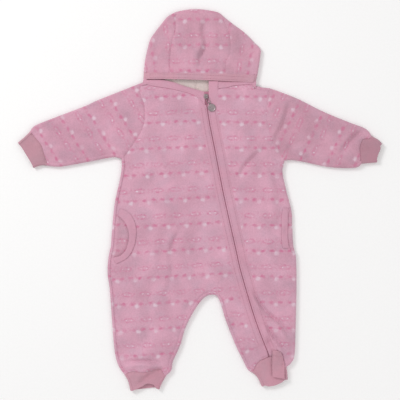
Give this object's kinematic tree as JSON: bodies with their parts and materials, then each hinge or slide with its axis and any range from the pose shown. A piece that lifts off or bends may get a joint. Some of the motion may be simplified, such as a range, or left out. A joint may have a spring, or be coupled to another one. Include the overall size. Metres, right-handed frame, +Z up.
{
  "type": "hooded baby snowsuit",
  "caption": "Hooded one-piece baby snowsuit laid flat, with a slanted full-length zip, cuffed sleeves and legs, and slash pockets.",
  "frame": {"origin": "bottom centre of the bounding box, on the surface that the suit lies on", "axes": "+Y towards the hood, along the suit's length; +X towards the viewer's right sleeve; +Z up from the surface, through the front"},
  "size_m": [0.6392, 0.67, 0.0138],
  "materials": {
    "printed_cloth": "pink knit with a small repeating print, matt",
    "plain_cloth": "plain dull pink knit, matt",
    "cuff_cloth": "plain dull pink stretch knit, matt",
    "lining": "off-white fleece",
    "zip": "dark pink coil zip",
    "metal": "satin silver"
  },
  "bodies": {
    "garment": {"back": "printed_cloth", "front_left": "printed_cloth", "front_right": "printed_cloth", "zip_band_left": "plain_cloth", "zip_band_right": "plain_cloth", "zip_chain": "zip", "sleeve_left": "printed_cloth", "sleeve_right": "printed_cloth", "hood_side_left": "printed_cloth", "hood_side_right": "printed_cloth", "hood_centre": "printed_cloth", "hood_band": "plain_cloth", "neck_binding_left": "plain_cloth", "neck_binding_right": "plain_cloth", "hood_lining": "lining", "pocket_inside_left": "printed_cloth", "pocket_inside_right": "printed_cloth", "pocket_band_left": "plain_cloth", "pocket_band_right": "plain_cloth", "wrist_cuff_left": "cuff_cloth", "wrist_cuff_right": "cuff_cloth", "ankle_cuff_left": "cuff_cloth", "ankle_cuff_right": "cuff_cloth", "ankle_flap_right": "cuff_cloth", "slider": "metal"},
    "link": {"pull_link": "metal"},
    "disc": {"pull_disc": "metal"}
  },
  "joints": [
    {"name": "link_on_slider", "type": "hinge", "parent": "garment", "child": "link", "pos_m": [0.0102, 0.1815, 0.01185], "axis": [-0.8862, -0.4633, 0], "range_deg": [0, 120]},
    {"name": "disc_on_link", "type": "hinge", "parent": "link", "child": "disc", "pos_m": [0.01668, 0.1691, 0.01155], "axis": [-0.8862, -0.4633, 0], "range_deg": [0, 60]}
  ]
}
